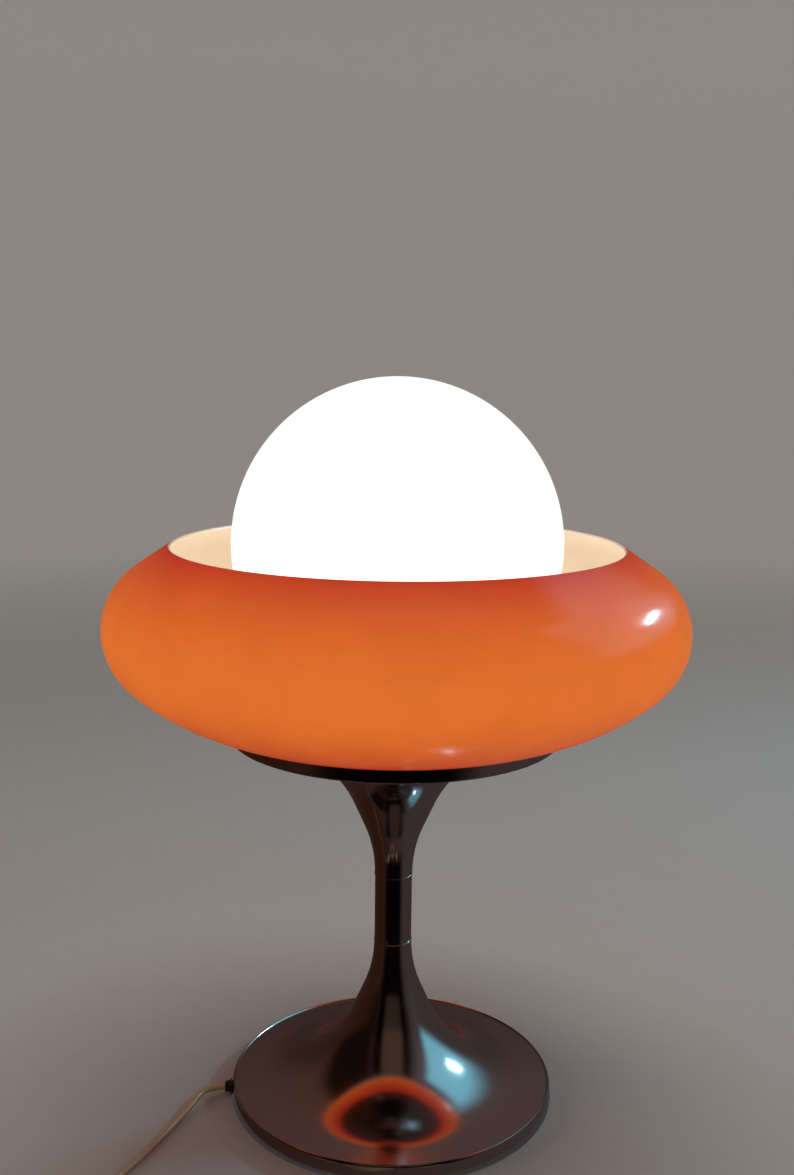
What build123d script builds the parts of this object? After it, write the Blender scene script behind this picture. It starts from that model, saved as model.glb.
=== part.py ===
from build123d import *
import math
import os

# A table lamp on a spun-metal tulip stand: two identical trumpets, one inverted, joined by a
# neck; an orange-over-white acrylic bowl rests on the upper one, and an opal glass globe sits
# inside the bowl. Millimetres, +Z up, origin at the middle of the foot, -Y to the front.

# ---- driving dimensions -------------------------------------------------------------------
GLOBE_RADIUS = 125.0
GLOBE_WALL = 3.0
GLOBE_MOUTH_RADIUS = 48.0
GLOBE_SEAT = 331.5  # height of the globe's cut edge
RIM_HEIGHT = 446.0  # the bowl's rim, and the globe's centre

BOWL_FLOOR = 312.0  # underside of the bowl
BOWL_WALL = 3.0
BOWL_FLAT_RADIUS = 136.1
BOWL_HOLE_RADIUS = 26.0
BOWL_ARCS = ((10.0, 15.0), (160.9, 26.4), (51.0, 104.5))  # radius, turn, from the flat outwards
BOWL_SHOULDER = 32.6  # straight stretch below the rim

SHEET = 1.2  # wall of the spun trumpets
NECK_RADIUS = 14.8
TRUMPET_HEIGHT = 128.0
TRUMPET_RIM_RADIUS = 128.5
NECK_ARC = (97.6, 24.1)  # radius and turn of the arc below the neck
CONE_LENGTH = 20.1
FLARE_ARC = (94.6, 60.1)
SKIRT_LENGTH = 17.1
TRUMPET_LIFT = 0.6  # the metal stops this far above the foot's felt
MIDDLE = 156.0  # the stand mirrors about this height
COLLAR_RADIUS = 14.6
JOINT_FLANGE = 0.8  # the part of a joint ring that shows between neck and trumpet

ROD_RADIUS = 5.0
ROD_BORE_RADIUS = 3.6
ROD_CLEARANCE = 0.1
ROD_BOTTOM = 20.0
ROD_TOP = 329.0

CORD_RADIUS = 2.6
CORD_FLOOR = CORD_RADIUS  # height of a cord's middle when it lies down
EXIT_TURN = 186.0  # direction of the cord's exit, degrees about +Z from +X
EXIT_HEIGHT = 6.4
EXIT_FACE = 133.7  # outer end of the bushing, from the lamp's axis

SWITCH_LENGTH = 58.0
SWITCH_WIDTH = 25.0
SWITCH_SPLIT = 7.0
SWITCH_HEIGHT = 16.0
SWITCH_WALL = 1.8
SWITCH_PLACE = (-121.0, -199.0)
ROCKER_RADIUS = 8.6
ROCKER_WIDTH = 10.4
ROCKER_PIVOT = 11.0  # height of the rocker's pin
ROCKER_TILT = 9.0  # it rests pressed down at its +X end

COIL_PLACE = (-30.0, -185.0)
COIL_TURN_RADIUS = 28.0
COIL_THICKNESS = 3 * 2 * CORD_RADIUS

PLUG_FACE = (30.0, -204.0, 6.85)  # where the cord enters the plug
PLUG_SLEEVE = 16.0
PLUG_LENGTH = 32.0
PLUG_THICKNESS = 13.7
PIN_LENGTH = 19.0
PIN_RADIUS = 2.0
PIN_SPACING = 18.6

BULB_BASE = 346.0  # tip of the bulb's cap
BULB_RADIUS = 30.0

exit_direction = Vector(math.cos(math.radians(EXIT_TURN)), math.sin(math.radians(EXIT_TURN)), 0)
os.makedirs("parts", exist_ok=True)


# ---- helpers ------------------------------------------------------------------------------
def save(piece, label):
    """Labels a finished piece and writes it."""
    piece.part.label = label
    export_step(piece.part, f"parts/{label}.step")


def turned(*points):
    """A piece turned about the lamp's axis from its (radius, height) outline."""
    with BuildPart() as piece:
        with BuildSketch(Plane.XZ):
            with BuildLine():
                Polyline(*points, close=True)
            make_face()
        revolve(axis=Axis.Z)
    return piece


def ring(outer, inner, bottom, top):
    """A flat ring about the lamp's axis."""
    return turned((inner, bottom), (outer, bottom), (outer, top), (inner, top))


def exit_plane(distance, height=EXIT_HEIGHT):
    """A plane across the cord's exit, facing outwards, at a distance from the lamp's axis."""
    centre = exit_direction * distance + Vector(0, 0, height)
    return Plane(origin=centre, x_dir=(0, 0, 1), z_dir=exit_direction)


def cord_radii(points):
    """The radius of the arc at each corner of a cord: as large as its two runs allow."""
    corners = [Vector(*point) for point in points]
    runs = [after - before for before, after in zip(corners, corners[1:])]
    radii = []
    for before, after in zip(runs, runs[1:]):
        half_turn = math.radians(before.get_angle(after)) / 2
        radii.append(0.45 * min(before.length, after.length) / math.tan(half_turn))
    return radii


def cord_tube(name, points, radii=None):
    """A round cord through the points, with an arc at each corner; prints its radii."""
    radii = radii or cord_radii(points)
    with BuildPart() as piece:
        with BuildLine():
            route = FilletPolyline(*points, radius=radii)
        with BuildSketch(Plane(origin=route @ 0, z_dir=route % 0)):
            Circle(CORD_RADIUS)
        sweep(path=route)
    expected = math.pi * CORD_RADIUS**2 * route.length
    print(f"{name}: length {route.length:.1f}, volume ratio {piece.part.volume / expected:.4f}")
    print("   radii " + " ".join(f"{radius:.0f}" for radius in radii))
    return piece


# ---- the stand ----------------------------------------------------------------------------
# One trumpet: an outer and an inner line of tangent arcs from the neck to the rim's bead.
with BuildPart() as trumpet:
    with BuildSketch(Plane.XZ):
        with BuildLine():
            neck_arc = JernArc((NECK_RADIUS, TRUMPET_HEIGHT), (0, -1), *NECK_ARC)
            cone = Line(neck_arc @ 1, (neck_arc @ 1) + (neck_arc % 1) * CONE_LENGTH)
            flare = JernArc(cone @ 1, cone % 1, *FLARE_ARC)
            skirt = Line(flare @ 1, (flare @ 1) + (flare % 1) * SKIRT_LENGTH)
            bead = ThreePointArc(skirt @ 1, (126.3, 13.5), (127.35, 12.3))
            band = Line(bead @ 1, (TRUMPET_RIM_RADIUS, TRUMPET_LIFT))
            lip = Line(band @ 1, (TRUMPET_RIM_RADIUS - SHEET, TRUMPET_LIFT))
            inner_neck = JernArc(
                (NECK_RADIUS - SHEET, TRUMPET_HEIGHT), (0, -1), NECK_ARC[0] + SHEET, NECK_ARC[1]
            )
            inner_cone = Line(inner_neck @ 1, (inner_neck @ 1) + (inner_neck % 1) * CONE_LENGTH)
            inner_flare = JernArc(inner_cone @ 1, inner_cone % 1, FLARE_ARC[0] + SHEET, FLARE_ARC[1])
            inner_skirt = Line(inner_flare @ 1, (inner_flare @ 1) + (inner_flare % 1) * SKIRT_LENGTH)
            corner = Line(inner_skirt @ 1, (TRUMPET_RIM_RADIUS - SHEET - 0.9, 10.9))
            Line(corner @ 1, lip @ 1)
            Line((NECK_RADIUS, TRUMPET_HEIGHT), (NECK_RADIUS - SHEET, TRUMPET_HEIGHT))
        make_face()
    revolve(axis=Axis.Z)
print("trumpet: skirt ends at", skirt @ 1)

with BuildPart() as base_shell:
    add(trumpet.part)
    with BuildSketch(exit_plane(120.0)):
        Circle(4.4)
    extrude(amount=15.0, mode=Mode.SUBTRACT)
save(base_shell, "base_shell")

with BuildPart() as upper_trumpet:
    add(mirror(trumpet.part, about=Plane.XY.offset(MIDDLE), mode=Mode.PRIVATE))
save(upper_trumpet, "upper_trumpet")

neck_bottom = TRUMPET_HEIGHT + JOINT_FLANGE
neck_top = 2 * MIDDLE - neck_bottom
neck_collar = ring(COLLAR_RADIUS, COLLAR_RADIUS - 1.0, neck_bottom, neck_top)
save(neck_collar, "neck_collar")


def joint_ring(seam):
    """A ring that centres a trumpet and the neck on the rod and shows as a line between them."""
    spigot = NECK_RADIUS - SHEET - 0.05
    bore = ROD_RADIUS + ROD_CLEARANCE
    return turned(
        (bore, seam - 8.0),
        (spigot, seam - 8.0),
        (spigot, seam),
        (NECK_RADIUS + 0.3, seam),
        (NECK_RADIUS + 0.3, seam + JOINT_FLANGE),
        (spigot, seam + JOINT_FLANGE),
        (spigot, seam + 8.0 + JOINT_FLANGE),
        (bore, seam + 8.0 + JOINT_FLANGE),
    )


save(joint_ring(TRUMPET_HEIGHT), "joint_ring_lower")
save(joint_ring(neck_top), "joint_ring_upper")

# The threaded rod is hollow: the cord runs up through it to the lampholder.
with BuildPart() as stem_rod:
    with BuildSketch(Plane.XY.offset(ROD_BOTTOM)):
        Circle(ROD_RADIUS)
        Circle(ROD_BORE_RADIUS, mode=Mode.SUBTRACT)
    extrude(amount=ROD_TOP - ROD_BOTTOM)
    chamfer(stem_rod.edges().filter_by(GeomType.CIRCLE).group_by(SortBy.RADIUS)[-1], length=0.6)
save(stem_rod, "stem_rod")

# ---- inside the foot ----------------------------------------------------------------------
WEIGHT_BOTTOM = 3.2
WEIGHT_HUB = 27.0
PLATE_BOTTOM = 1.6
PLATE_SCREW_CIRCLE = 90.0
PLATE_SCREW_START = 6.0

with BuildPart() as base_weight:
    with BuildSketch(Plane.XZ):
        with BuildLine():
            Polyline(
                (ROD_RADIUS + ROD_CLEARANCE, WEIGHT_HUB),
                (17.0, WEIGHT_HUB),
                (17.0, WEIGHT_BOTTOM),
                (108.0, WEIGHT_BOTTOM),
                (108.0, 9.0),
                (84.0, 14.5),
                (60.0, 22.0),
                (40.0, 28.5),
                (ROD_RADIUS + ROD_CLEARANCE, 30.0),
                close=True,
            )
        make_face()
    revolve(axis=Axis.Z)
    with BuildSketch(exit_plane(0.0, 0.0)):
        with Locations((5.6, 0)):
            Rectangle(11.2, 9.0)
    extrude(amount=130.0, mode=Mode.SUBTRACT)
    with BuildSketch(exit_plane(106.0, 0.0)):
        with Locations((7.0, 0)):
            Rectangle(14.0, 14.0)
    extrude(amount=30.0, mode=Mode.SUBTRACT)
    with BuildSketch(Plane.XY.offset(WEIGHT_BOTTOM)):
        with PolarLocations(PLATE_SCREW_CIRCLE, 3, start_angle=PLATE_SCREW_START):
            Circle(1.6)
    extrude(amount=8.0, mode=Mode.SUBTRACT)
save(base_weight, "base_weight")

with BuildPart() as bottom_plate:
    with BuildSketch(Plane.XY.offset(PLATE_BOTTOM)):
        Circle(126.6)
        with PolarLocations(PLATE_SCREW_CIRCLE, 3, start_angle=PLATE_SCREW_START):
            Circle(1.8, mode=Mode.SUBTRACT)
        with Locations(exit_direction * 120.0):
            Rectangle(26.0, 15.0, rotation=EXIT_TURN, mode=Mode.SUBTRACT)
    extrude(amount=1.0)
save(bottom_plate, "bottom_plate")

# Three pan-head screws hold the plate under the weight; their heads stay above the foot.
with BuildPart() as plate_screws:
    with BuildSketch(Plane.XY.offset(0.5)):
        with PolarLocations(PLATE_SCREW_CIRCLE, 3, start_angle=PLATE_SCREW_START):
            Circle(3.4)
            Rectangle(5.0, 0.9, mode=Mode.SUBTRACT)
    extrude(amount=0.5)
    with BuildSketch(Plane.XY.offset(1.0)):
        with PolarLocations(PLATE_SCREW_CIRCLE, 3, start_angle=PLATE_SCREW_START):
            Circle(3.4)
    extrude(amount=PLATE_BOTTOM - 1.0)
    with BuildSketch(Plane.XY.offset(PLATE_BOTTOM)):
        with PolarLocations(PLATE_SCREW_CIRCLE, 3, start_angle=PLATE_SCREW_START):
            Circle(1.5)
    extrude(amount=9.0)
save(plate_screws, "plate_screws")

with BuildPart() as foot_felt:
    with BuildSketch():
        Circle(121.0)
        Circle(98.0, mode=Mode.SUBTRACT)
    extrude(amount=PLATE_BOTTOM)
save(foot_felt, "foot_felt")

save(ring(14.0, ROD_RADIUS + ROD_CLEARANCE, 25.6, WEIGHT_HUB), "rod_washer_lower")


def hex_nut(bottom, height):
    """A thin M10 lamp nut about the rod."""
    with BuildPart() as piece:
        with BuildSketch(Plane.XY.offset(bottom)):
            RegularPolygon(radius=7.0, side_count=6, major_radius=False)
            Circle(ROD_RADIUS, mode=Mode.SUBTRACT)
        extrude(amount=height)
    return piece


save(hex_nut(21.6, 4.0), "rod_nut_lower")

# ---- cord entry ---------------------------------------------------------------------------
# A snap-in bushing: a tapered nose outside the band, barbs behind it and a sleeve inwards.
with BuildPart() as cord_bushing:
    with BuildSketch(exit_plane(128.7)):
        Circle(5.5)
    with BuildSketch(exit_plane(EXIT_FACE)):
        Circle(4.5)
    loft()
    with BuildSketch(exit_plane(112.0)):
        Circle(4.2)
    extrude(amount=17.0)
    with BuildSketch(exit_plane(121.5)):
        Circle(4.6)
    extrude(amount=4.0)
    with BuildSketch(exit_plane(111.0)):
        Circle(CORD_RADIUS + 0.05)
    extrude(amount=25.0, mode=Mode.SUBTRACT)
save(cord_bushing, "cord_bushing")

# The fixed run of the cord: through the bushing, along the weight's groove and up the rod.
bend = 13.0
inner_points = (
    exit_direction * EXIT_FACE + Vector(0, 0, EXIT_HEIGHT),
    Vector(0, 0, EXIT_HEIGHT),
    Vector(0, 0, 327.0),
)
inner_cord = cord_tube("inner_cord", inner_points, [bend])
save(inner_cord, "inner_cord")

# ---- bowl and its supports ----------------------------------------------------------------
PLATE_TOP = 310.8
support_plate = ring(127.0, ROD_RADIUS + ROD_CLEARANCE, PLATE_TOP - SHEET, PLATE_TOP)
save(support_plate, "support_plate")
save(ring(122.0, BOWL_HOLE_RADIUS + 2.0, PLATE_TOP, BOWL_FLOOR), "bowl_gasket")
centring = ring(BOWL_HOLE_RADIUS - 0.2, ROD_RADIUS + ROD_CLEARANCE, PLATE_TOP, BOWL_FLOOR + BOWL_WALL)
save(centring, "bowl_centring_bush")

with BuildPart() as shade_bowl:
    with BuildSketch(Plane.XZ):
        with BuildLine():
            floor = Line((BOWL_HOLE_RADIUS, BOWL_FLOOR), (BOWL_FLAT_RADIUS, BOWL_FLOOR))
            outer = floor
            for radius, turn in BOWL_ARCS:
                outer = JernArc(outer @ 1, outer % 1, radius, turn)
            shoulder = Line(outer @ 1, (outer @ 1) + (outer % 1) * BOWL_SHOULDER)
            inside_floor = Line(
                (BOWL_HOLE_RADIUS, BOWL_FLOOR + BOWL_WALL),
                (BOWL_FLAT_RADIUS, BOWL_FLOOR + BOWL_WALL),
            )
            inner = inside_floor
            for radius, turn in BOWL_ARCS:
                inner = JernArc(inner @ 1, inner % 1, radius - BOWL_WALL, turn)
            inner_shoulder = Line(inner @ 1, (inner @ 1) + (inner % 1) * BOWL_SHOULDER)
            lip_middle = (shoulder @ 1 + inner_shoulder @ 1) / 2 + (shoulder % 1) * BOWL_WALL / 2
            ThreePointArc(shoulder @ 1, lip_middle, inner_shoulder @ 1)
            Line((BOWL_HOLE_RADIUS, BOWL_FLOOR), (BOWL_HOLE_RADIUS, BOWL_FLOOR + BOWL_WALL))
        make_face()
    revolve(axis=Axis.Z)
save(shade_bowl, "shade_bowl")
print("bowl: rim at", shoulder @ 1, "widest", shade_bowl.part.bounding_box().max.X)

# ---- gallery that carries the globe -------------------------------------------------------
GALLERY_FLOOR = 316.0
GALLERY_RADIUS = 46.0
GALLERY_WALL = 1.2
FLANGE_TOP = 329.8

save(ring(43.0, BOWL_HOLE_RADIUS - 2.0, BOWL_FLOOR + BOWL_WALL, GALLERY_FLOOR), "gallery_washer")

with BuildPart() as globe_gallery:
    with BuildSketch(Plane.XZ):
        with BuildLine():
            Polyline(
                (ROD_RADIUS + ROD_CLEARANCE, GALLERY_FLOOR),
                (GALLERY_RADIUS, GALLERY_FLOOR),
                (GALLERY_RADIUS, FLANGE_TOP - GALLERY_WALL),
                (60.0, FLANGE_TOP - GALLERY_WALL),
                (60.0, FLANGE_TOP),
                (GALLERY_RADIUS, FLANGE_TOP),
                (GALLERY_RADIUS, 337.0),
                (GALLERY_RADIUS - GALLERY_WALL, 337.0),
                (GALLERY_RADIUS - GALLERY_WALL, GALLERY_FLOOR + GALLERY_WALL),
                (ROD_RADIUS + ROD_CLEARANCE, GALLERY_FLOOR + GALLERY_WALL),
                close=True,
            )
        make_face()
    revolve(axis=Axis.Z)
    with Locations((0, 0, 322.5)):
        with PolarLocations(GALLERY_RADIUS, 8, start_angle=22.5):
            Cylinder(3.0, 6.0, rotation=(0, 90, 0), mode=Mode.SUBTRACT)
save(globe_gallery, "globe_gallery")

save(ring(58.0, GALLERY_RADIUS + 0.3, FLANGE_TOP, GLOBE_SEAT - 0.3), "globe_cushion")
save(ring(12.0, ROD_RADIUS + ROD_CLEARANCE, 317.2, 318.4), "rod_washer_upper")
save(hex_nut(318.4, 4.0), "rod_nut_upper")

with BuildPart() as globe_glass:
    with BuildSketch(Plane.XZ):
        with Locations((0, RIM_HEIGHT)):
            Circle(GLOBE_RADIUS)
            Circle(GLOBE_RADIUS - GLOBE_WALL, mode=Mode.SUBTRACT)
        with Locations((-GLOBE_RADIUS, RIM_HEIGHT)):
            Rectangle(2 * GLOBE_RADIUS, 4 * GLOBE_RADIUS, mode=Mode.SUBTRACT)
        with Locations((0, RIM_HEIGHT - GLOBE_RADIUS)):
            Rectangle(2 * GLOBE_MOUTH_RADIUS, GLOBE_RADIUS, mode=Mode.SUBTRACT)
            Rectangle(2 * GLOBE_RADIUS, 2 * (GLOBE_SEAT - RIM_HEIGHT + GLOBE_RADIUS), mode=Mode.SUBTRACT)
    revolve(axis=Axis.Z)
save(globe_glass, "globe_glass")

# ---- lampholder, size E27 -----------------------------------------------------------------
HOLDER_BOTTOM = 322.8
HOLDER_RADIUS = 20.0
HOLDER_SPLIT = 337.0
HOLDER_TOP = 372.0
SLEEVE_OUTER = 14.3
SLEEVE_INNER = 13.7
INSERT_TOP = 343.0

lampholder_cap = turned(
    (ROD_RADIUS, HOLDER_BOTTOM),
    (13.0, HOLDER_BOTTOM),
    (HOLDER_RADIUS, 329.0),
    (HOLDER_RADIUS, HOLDER_SPLIT),
    (17.6, HOLDER_SPLIT),
    (17.6, 328.6),
    (11.0, 326.0),
    (ROD_RADIUS, 326.0),
)
save(lampholder_cap, "lampholder_cap")

lampholder_body = turned(
    (17.6, HOLDER_SPLIT),
    (HOLDER_RADIUS - 0.4, HOLDER_SPLIT),
    (HOLDER_RADIUS - 0.4, HOLDER_TOP - 1.0),
    (HOLDER_RADIUS - 1.4, HOLDER_TOP),
    (SLEEVE_OUTER, HOLDER_TOP),
    (SLEEVE_OUTER, INSERT_TOP),
    (17.6, INSERT_TOP),
)
save(lampholder_body, "lampholder_body")

with BuildPart() as lampholder_insert:
    with BuildSketch(Plane.XY.offset(333.0)):
        Circle(17.4)
        with Locations((11.0, 0), (-11.0, 0)):
            Circle(1.6, mode=Mode.SUBTRACT)
    extrude(amount=INSERT_TOP - 333.0)
save(lampholder_insert, "lampholder_insert")

save(ring(SLEEVE_OUTER, SLEEVE_INNER, INSERT_TOP, 365.0), "lampholder_sleeve")

# The spring contact under the bulb's tip, and the two terminal posts below the insert.
with BuildPart() as lampholder_contacts:
    with BuildSketch(Plane.XY.offset(INSERT_TOP)):
        Circle(4.0)
    extrude(amount=BULB_BASE - INSERT_TOP - 0.3)
    with BuildSketch(Plane.XY.offset(330.0)):
        with Locations((11.0, 0), (-11.0, 0)):
            Circle(2.4)
    extrude(amount=3.0)
save(lampholder_contacts, "lampholder_contacts")

# Two stripped conductors fan out from the end of the cord to the terminal posts.
with BuildPart() as holder_wires:
    for side in (1, -1):
        with BuildLine():
            wire = FilletPolyline((1.2 * side, 0, 327.0), (1.2 * side, 0, 330.6), (8.6 * side, 0, 331.6), radius=1.5)
        with BuildSketch(Plane(origin=wire @ 0, z_dir=wire % 0)):
            Circle(0.8)
        sweep(path=wire)
save(holder_wires, "holder_wires")

# ---- bulb ---------------------------------------------------------------------------------
CAP_RADIUS = 13.2
THREAD_PITCH = 3.63
THREAD_DEPTH = 0.7
CAP_BOTTOM = BULB_BASE + 6.0
CAP_TOP = BULB_BASE + 26.0

thread_points = []
for turn_number in range(4):
    height = CAP_BOTTOM + 1.5 + turn_number * THREAD_PITCH
    thread_points.append((CAP_RADIUS - THREAD_DEPTH, height))
    thread_points.append((CAP_RADIUS, height + THREAD_PITCH / 2))
thread_points.append((CAP_RADIUS - THREAD_DEPTH, CAP_BOTTOM + 1.5 + 4 * THREAD_PITCH))
bulb_cap = turned(
    (CAP_RADIUS - 1.5, CAP_BOTTOM),
    *thread_points,
    (CAP_RADIUS, CAP_TOP - 2.0),
    (CAP_RADIUS, CAP_TOP),
    (CAP_RADIUS - 1.5, CAP_TOP),
)
save(bulb_cap, "bulb_cap")

bulb_contact = turned((0, BULB_BASE), (4.6, BULB_BASE), (4.8, BULB_BASE + 1.4), (0, BULB_BASE + 1.4))
save(bulb_contact, "bulb_contact")

bulb_insulator = turned(
    (0, BULB_BASE + 1.4),
    (6.0, BULB_BASE + 1.4),
    (CAP_RADIUS - 1.5, CAP_BOTTOM),
    (CAP_RADIUS - 1.5, CAP_BOTTOM + 2.0),
    (0, CAP_BOTTOM + 2.0),
)
save(bulb_insulator, "bulb_insulator")

BULB_GLASS_WALL = 0.8
bulb_middle = BULB_BASE + 74.0
bulb_outline = (
    (11.0, CAP_TOP - 6.0),
    (11.5, CAP_TOP),
    (15.0, CAP_TOP + 10.0),
    (23.5, CAP_TOP + 27.0),
    (BULB_RADIUS, bulb_middle),
)
with BuildPart() as bulb_glass:
    with BuildSketch(Plane.XZ):
        with BuildLine():
            outer_neck = Spline(*bulb_outline, tangents=((0, 1), (0, 1)))
            outer_dome = JernArc(outer_neck @ 1, (0, 1), BULB_RADIUS, 90)
            inset_outline = [(radius - BULB_GLASS_WALL, height) for radius, height in bulb_outline]
            inner_bulb = Spline(*inset_outline, tangents=((0, 1), (0, 1)))
            inner_dome = JernArc(inner_bulb @ 1, (0, 1), BULB_RADIUS - BULB_GLASS_WALL, 90)
            Line(outer_dome @ 1, inner_dome @ 1)
            Line(outer_neck @ 0, inner_bulb @ 0)
        make_face()
    revolve(axis=Axis.Z)
save(bulb_glass, "bulb_glass")

bulb_stem = turned((0, 357.0), (9.0, 357.0), (9.0, 359.0), (3.2, 366.0), (3.2, 392.0), (2.4, 396.0), (0, 396.0))
save(bulb_stem, "bulb_stem")

# The filament hangs in a shallow bow between two supports that rise from the stem.
with BuildPart() as bulb_filament:
    with BuildLine():
        filament = FilletPolyline(
            (-1.6, 0, 394.0),
            (-13.0, 0, 412.0),
            (-9.0, 0, 417.0),
            (9.0, 0, 417.0),
            (13.0, 0, 412.0),
            (1.6, 0, 394.0),
            radius=1.5,
        )
    with BuildSketch(Plane(origin=filament @ 0, z_dir=filament % 0)):
        Circle(0.4)
    sweep(path=filament)
save(bulb_filament, "bulb_filament")

# ---- inline switch ------------------------------------------------------------------------
switch_floor = Plane(origin=(*SWITCH_PLACE, 0))
switch_split = Plane(origin=(*SWITCH_PLACE, SWITCH_SPLIT))
inner_length = SWITCH_LENGTH - 2 * SWITCH_WALL
inner_width = SWITCH_WIDTH - 2 * SWITCH_WALL
SCREW_SPACING = 42.0
TERMINAL_SPACING = 24.0

with BuildPart() as switch_base:
    with BuildSketch(switch_floor):
        RectangleRounded(SWITCH_LENGTH, SWITCH_WIDTH, 7.0)
    extrude(amount=SWITCH_SPLIT - 0.1)
    fillet(switch_base.faces().sort_by(Axis.Z)[0].edges(), radius=1.5)
    with BuildSketch(switch_floor.offset(SWITCH_WALL)):
        RectangleRounded(inner_length, inner_width, 5.2)
    extrude(amount=SWITCH_SPLIT, mode=Mode.SUBTRACT)
    with BuildSketch(switch_floor):
        with GridLocations(SCREW_SPACING, 0, 2, 1):
            Circle(3.4)
    extrude(amount=SWITCH_SPLIT - 0.1)
    with BuildSketch(switch_floor):
        with GridLocations(SCREW_SPACING, 0, 2, 1):
            Circle(1.7)
    extrude(amount=SWITCH_SPLIT, mode=Mode.SUBTRACT)
    with BuildSketch(switch_floor):
        with GridLocations(SCREW_SPACING, 0, 2, 1):
            Circle(2.7)
    extrude(amount=2.2, mode=Mode.SUBTRACT)
save(switch_base, "switch_base")

with BuildPart() as switch_cover:
    with BuildSketch(switch_split):
        RectangleRounded(SWITCH_LENGTH, SWITCH_WIDTH, 7.0)
    extrude(amount=SWITCH_HEIGHT - SWITCH_SPLIT)
    fillet(switch_cover.faces().sort_by(Axis.Z)[-1].edges(), radius=2.6)
    with BuildSketch(switch_split):
        RectangleRounded(inner_length, inner_width, 5.2)
    extrude(amount=SWITCH_HEIGHT - SWITCH_SPLIT - SWITCH_WALL, mode=Mode.SUBTRACT)
    with BuildSketch(switch_split):
        with GridLocations(SCREW_SPACING, 0, 2, 1):
            Circle(3.4)
        with GridLocations(0, ROCKER_WIDTH + 2.0, 1, 2):
            Rectangle(7.0, 1.2)
    extrude(amount=SWITCH_HEIGHT - SWITCH_SPLIT - 0.5)
    with BuildSketch(switch_split):
        with GridLocations(SCREW_SPACING, 0, 2, 1):
            Circle(1.3)
    extrude(amount=5.0, mode=Mode.SUBTRACT)
    with BuildSketch(switch_split):
        Rectangle(2 * ROCKER_RADIUS - 0.4, ROCKER_WIDTH + 0.6)
    extrude(amount=SWITCH_HEIGHT, mode=Mode.SUBTRACT)
    with Locations((*SWITCH_PLACE, ROCKER_PIVOT)):
        Cylinder(1.25, ROCKER_WIDTH + 6.0, rotation=(90, 0, 0), mode=Mode.SUBTRACT)
save(switch_cover, "switch_cover")

# The rocker is a drum about its pin, cut to a shallow V on top; it is made level, and its
# sketch plane is tilted to the pressed side.
tilt = math.radians(ROCKER_TILT)
rocker_centre = Vector(*SWITCH_PLACE, ROCKER_PIVOT)
rocker_plane = Plane(
    origin=rocker_centre + Vector(0, ROCKER_WIDTH / 2, 0),
    x_dir=(math.cos(tilt), 0, -math.sin(tilt)),
    z_dir=(0, -1, 0),
)
with BuildPart() as switch_rocker:
    with BuildSketch(rocker_plane):
        Circle(ROCKER_RADIUS)
        with BuildLine():
            Polyline(
                (-12.0, 7.4),
                (0, 5.5),
                (12.0, 7.4),
                (12.0, 12.0),
                (-12.0, 12.0),
                close=True,
            )
        make_face(mode=Mode.SUBTRACT)
        with Locations((0, -7.0)):
            Rectangle(24.0, 10.0, mode=Mode.SUBTRACT)
    extrude(amount=ROCKER_WIDTH)
    with Locations(rocker_centre):
        Cylinder(1.2, ROCKER_WIDTH + 2.0, rotation=(90, 0, 0))
save(switch_rocker, "switch_rocker")

with BuildPart() as switch_screws:
    with BuildSketch(switch_floor.offset(0.6)):
        with GridLocations(SCREW_SPACING, 0, 2, 1):
            Circle(2.6)
            Rectangle(4.0, 0.7, mode=Mode.SUBTRACT)
    extrude(amount=0.7)
    with BuildSketch(switch_floor.offset(1.3)):
        with GridLocations(SCREW_SPACING, 0, 2, 1):
            Circle(2.6)
    extrude(amount=0.9)
    with BuildSketch(switch_floor.offset(2.2)):
        with GridLocations(SCREW_SPACING, 0, 2, 1):
            Circle(1.25)
    extrude(amount=9.0)
save(switch_screws, "switch_screws")

with BuildPart() as switch_contacts:
    with BuildSketch(switch_floor.offset(SWITCH_WALL)):
        with GridLocations(TERMINAL_SPACING, 8.0, 2, 2):
            Rectangle(7.0, 5.0)
    extrude(amount=4.4)
save(switch_contacts, "switch_contacts")

# ---- free cord ----------------------------------------------------------------------------
# From the bushing it bends to the front, lies down and curls back to the switch.
lead_points = (
    tuple(exit_direction * EXIT_FACE + Vector(0, 0, EXIT_HEIGHT)),
    (-140.33, -14.75, EXIT_HEIGHT),
    (-146.9, -18.1, 6.4),
    (-151.7, -23.8, 6.0),
    (-155.0, -33.3, 4.9),
    (-160.0, -46.3, 3.6),
    (-166.5, -61.5, 2.8),
    (-173.8, -80.3, CORD_FLOOR),
    (-183.5, -103.0, CORD_FLOOR),
    (-196.0, -128.0, CORD_FLOOR),
    (-204.5, -150.0, CORD_FLOOR),
    (-205.0, -172.0, CORD_FLOOR),
    (-193.0, -190.0, CORD_FLOOR),
    (-176.5, -198.0, 4.6),
    (-162.0, SWITCH_PLACE[1], SWITCH_SPLIT),
    (SWITCH_PLACE[0] - SWITCH_LENGTH / 2, SWITCH_PLACE[1], SWITCH_SPLIT),
)
save(cord_tube("cord_lead", lead_points), "cord_lead")

# From the switch to the coil.
link_points = (
    (SWITCH_PLACE[0] + SWITCH_LENGTH / 2, SWITCH_PLACE[1], SWITCH_SPLIT),
    (-82.0, SWITCH_PLACE[1], SWITCH_SPLIT),
    (-70.0, -201.4, 4.8),
    (-58.0, -207.2, CORD_FLOOR),
    (-49.0, -212.5, CORD_FLOOR),
)
save(cord_tube("cord_link", link_points), "cord_link")

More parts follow.
